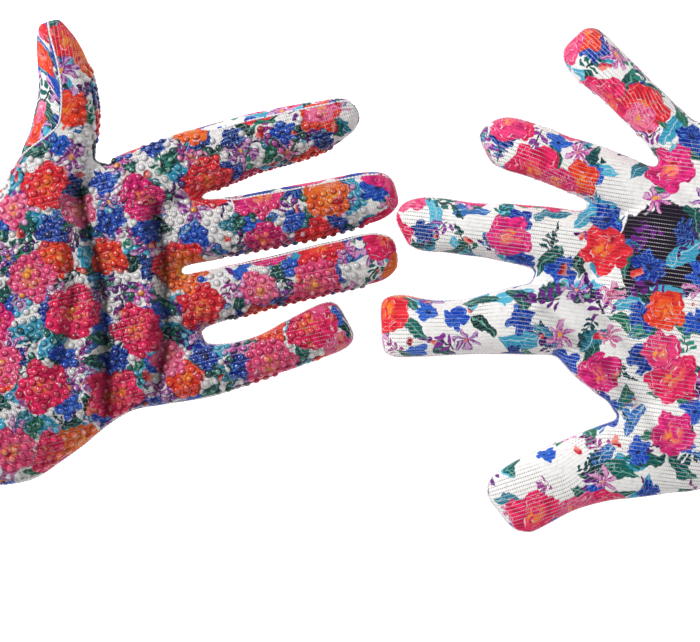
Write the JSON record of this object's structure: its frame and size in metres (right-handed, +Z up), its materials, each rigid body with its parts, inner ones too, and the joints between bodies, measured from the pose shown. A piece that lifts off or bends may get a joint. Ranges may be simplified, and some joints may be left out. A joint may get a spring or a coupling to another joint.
{
  "type": "gardening gloves",
  "caption": "Stretch-knit gardening gloves with an all-over floral print, soft grip dots on the palm side and ribbed elastic cuffs.",
  "frame": {"origin": "middle of the bounding box in plan, on the table that the gloves lie on", "axes": "+X runs from the left glove's cuff to the right glove's cuff, +Y points the way the left glove's thumb points, +Z is up; the left glove lies palm up and the right glove palm down"},
  "size_m": [0.4844, 0.2056, 0.0252],
  "materials": {
    "palm_fabric": "fine stretch knit with an all-over floral print, under clear dots",
    "back_fabric": "fine stretch knit with an all-over floral print, undotted",
    "grip_dots": "clear glossy soft plastic dots that tint with the print below",
    "cuff_rib": "plain off-white ribbed stretch knit",
    "overlock_thread": "overlocked sewing thread",
    "elastic": "covered elastic tape",
    "label": "plain woven tape, unprinted"
  },
  "bodies": {
    "left_hand": {"left_hand_palm_panel": "palm_fabric", "left_hand_back_panel": "back_fabric", "left_hand_grip_dots": "grip_dots", "left_cuff_rib": "cuff_rib", "left_cuff_hem": "overlock_thread", "left_cuff_elastic": "elastic", "left_cuff_seam": "overlock_thread", "left_size_label": "label"},
    "left_thumb": {"left_thumb_palm_panel": "palm_fabric", "left_thumb_back_panel": "back_fabric", "left_thumb_grip_dots": "grip_dots"},
    "left_index": {"left_index_palm_panel": "palm_fabric", "left_index_back_panel": "back_fabric", "left_index_grip_dots": "grip_dots"},
    "left_middle": {"left_middle_palm_panel": "palm_fabric", "left_middle_back_panel": "back_fabric", "left_middle_grip_dots": "grip_dots"},
    "left_ring": {"left_ring_palm_panel": "palm_fabric", "left_ring_back_panel": "back_fabric", "left_ring_grip_dots": "grip_dots"},
    "left_little": {"left_little_palm_panel": "palm_fabric", "left_little_back_panel": "back_fabric", "left_little_grip_dots": "grip_dots"},
    "right_hand": {"right_hand_palm_panel": "palm_fabric", "right_hand_back_panel": "back_fabric", "right_hand_grip_dots": "grip_dots", "right_cuff_rib": "cuff_rib", "right_cuff_hem": "overlock_thread", "right_cuff_elastic": "elastic", "right_cuff_seam": "overlock_thread", "right_size_label": "label"},
    "right_thumb": {"right_thumb_palm_panel": "palm_fabric", "right_thumb_back_panel": "back_fabric", "right_thumb_grip_dots": "grip_dots"},
    "right_index": {"right_index_palm_panel": "palm_fabric", "right_index_back_panel": "back_fabric", "right_index_grip_dots": "grip_dots"},
    "right_middle": {"right_middle_palm_panel": "palm_fabric", "right_middle_back_panel": "back_fabric", "right_middle_grip_dots": "grip_dots"},
    "right_ring": {"right_ring_palm_panel": "palm_fabric", "right_ring_back_panel": "back_fabric", "right_ring_grip_dots": "grip_dots"},
    "right_little": {"right_little_palm_panel": "palm_fabric", "right_little_back_panel": "back_fabric", "right_little_grip_dots": "grip_dots"}
  },
  "joints": [
    {"name": "right_lift", "type": "slide", "parent": "left_hand", "child": "right_hand", "axis": [0, 0, 1], "range_m": [0, 0.15]},
    {"name": "left_thumb_curl", "type": "hinge", "parent": "left_hand", "child": "left_thumb", "pos_m": [-0.12396, 0.04755, 0.0162], "axis": [0.9848, 0.1736, 0], "range_deg": [0, 55]},
    {"name": "left_index_curl", "type": "hinge", "parent": "left_hand", "child": "left_index", "pos_m": [-0.07186, 0.04625, 0.0162], "axis": [0.309, -0.9511, 0], "range_deg": [0, 80]},
    {"name": "left_middle_curl", "type": "hinge", "parent": "left_hand", "child": "left_middle", "pos_m": [-0.06496, 0.02025, 0.0162], "axis": [0.213, -0.977, 0], "range_deg": [0, 80]},
    {"name": "left_ring_curl", "type": "hinge", "parent": "left_hand", "child": "left_ring", "pos_m": [-0.06876, -0.00545, 0.0162], "axis": [0.2147, -0.9767, 0], "range_deg": [0, 80]},
    {"name": "left_little_curl", "type": "hinge", "parent": "left_hand", "child": "left_little", "pos_m": [-0.06386, -0.03335, 0.0162], "axis": [0.2079, -0.9781, 0], "range_deg": [0, 80]},
    {"name": "right_thumb_curl", "type": "hinge", "parent": "right_hand", "child": "right_thumb", "pos_m": [0.09724, -0.06965, 0], "axis": [0.3256, -0.9455, 0], "range_deg": [0, 55]},
    {"name": "right_index_curl", "type": "hinge", "parent": "right_hand", "child": "right_index", "pos_m": [0.06164, -0.01455, 0], "axis": [0, -1, 0], "range_deg": [0, 80]},
    {"name": "right_middle_curl", "type": "hinge", "parent": "right_hand", "child": "right_middle", "pos_m": [0.06344, 0.01765, 0], "axis": [-0.1219, -0.9925, 0], "range_deg": [0, 80]},
    {"name": "right_ring_curl", "type": "hinge", "parent": "right_hand", "child": "right_ring", "pos_m": [0.08874, 0.04205, 0], "axis": [-0.3584, -0.9336, 0], "range_deg": [0, 80]},
    {"name": "right_little_curl", "type": "hinge", "parent": "right_hand", "child": "right_little", "pos_m": [0.11804, 0.05585, 0], "axis": [-0.7193, -0.6947, 0], "range_deg": [0, 80]}
  ]
}
